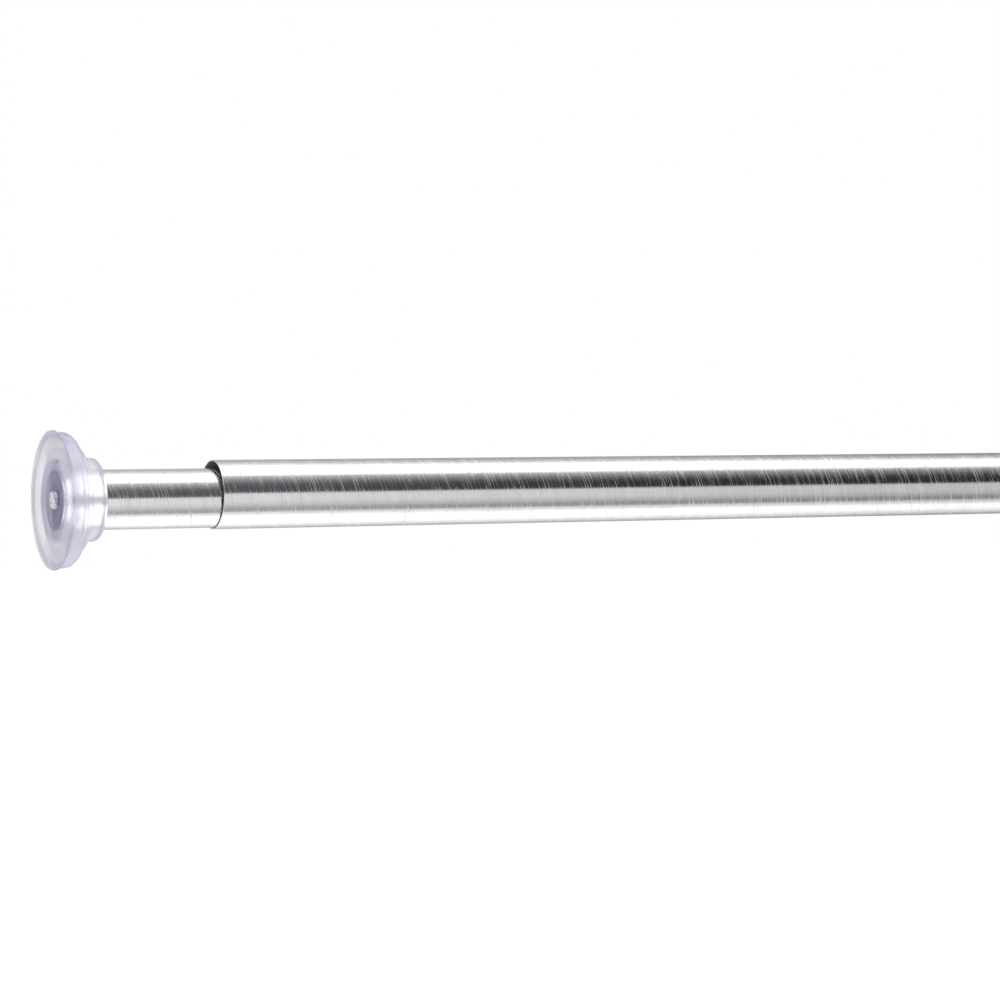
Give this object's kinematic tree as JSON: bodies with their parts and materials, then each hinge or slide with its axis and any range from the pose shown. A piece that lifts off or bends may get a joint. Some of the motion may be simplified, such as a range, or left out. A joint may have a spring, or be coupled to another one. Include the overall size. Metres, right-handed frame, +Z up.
{
  "type": "spring tension rod",
  "caption": "Telescopic spring tension rod for a curtain: brushed steel tubes with clear round wall feet, a twist lock and an inner compression spring.",
  "frame": {"origin": "centre of the outer foot's wall face", "axes": "+X along the rod, out of the outer foot's wall face; the rod runs to -X; +Z up"},
  "size_m": [0.6551, 0.0438, 0.0449],
  "materials": {
    "tube_steel": "brushed round the tube",
    "clear_pvc": "clear soft PVC, faint violet",
    "spring_steel": "oiled drawn wire",
    "zinc_steel": "zinc plated",
    "nylon": "natural moulded nylon"
  },
  "bodies": {
    "outer": {"outer_tube": "tube_steel", "outer_foot": "clear_pvc"},
    "ring": {"cam_ring": "nylon"},
    "core": {"plunger_rod": "zinc_steel", "spring_follower": "nylon", "follower_screw": "zinc_steel", "cam_hub": "nylon", "cam_washer": "zinc_steel", "cam_screw": "zinc_steel"},
    "inner": {"inner_tube": "tube_steel", "inner_foot": "clear_pvc", "guide_bush": "nylon", "tension_spring": "spring_steel", "spring_anchor": "nylon"}
  },
  "joints": [
    {"name": "length_slide", "type": "slide", "parent": "outer", "child": "ring", "axis": [-1, 0, 0], "range_m": [-0.012, 0.36]},
    {"name": "twist_lock", "type": "hinge", "parent": "ring", "child": "core", "pos_m": [-0.0355, 0.0011, -0.0004], "axis": [-1, 0, 0], "range_deg": [0, 65]},
    {"name": "spring_push", "type": "slide", "parent": "core", "child": "inner", "axis": [1, 0, 0], "range_m": [0, 0.025], "stiffness_N_per_m": 2300, "springref_m": -0.012, "deforming": ["tension_spring"]}
  ]
}
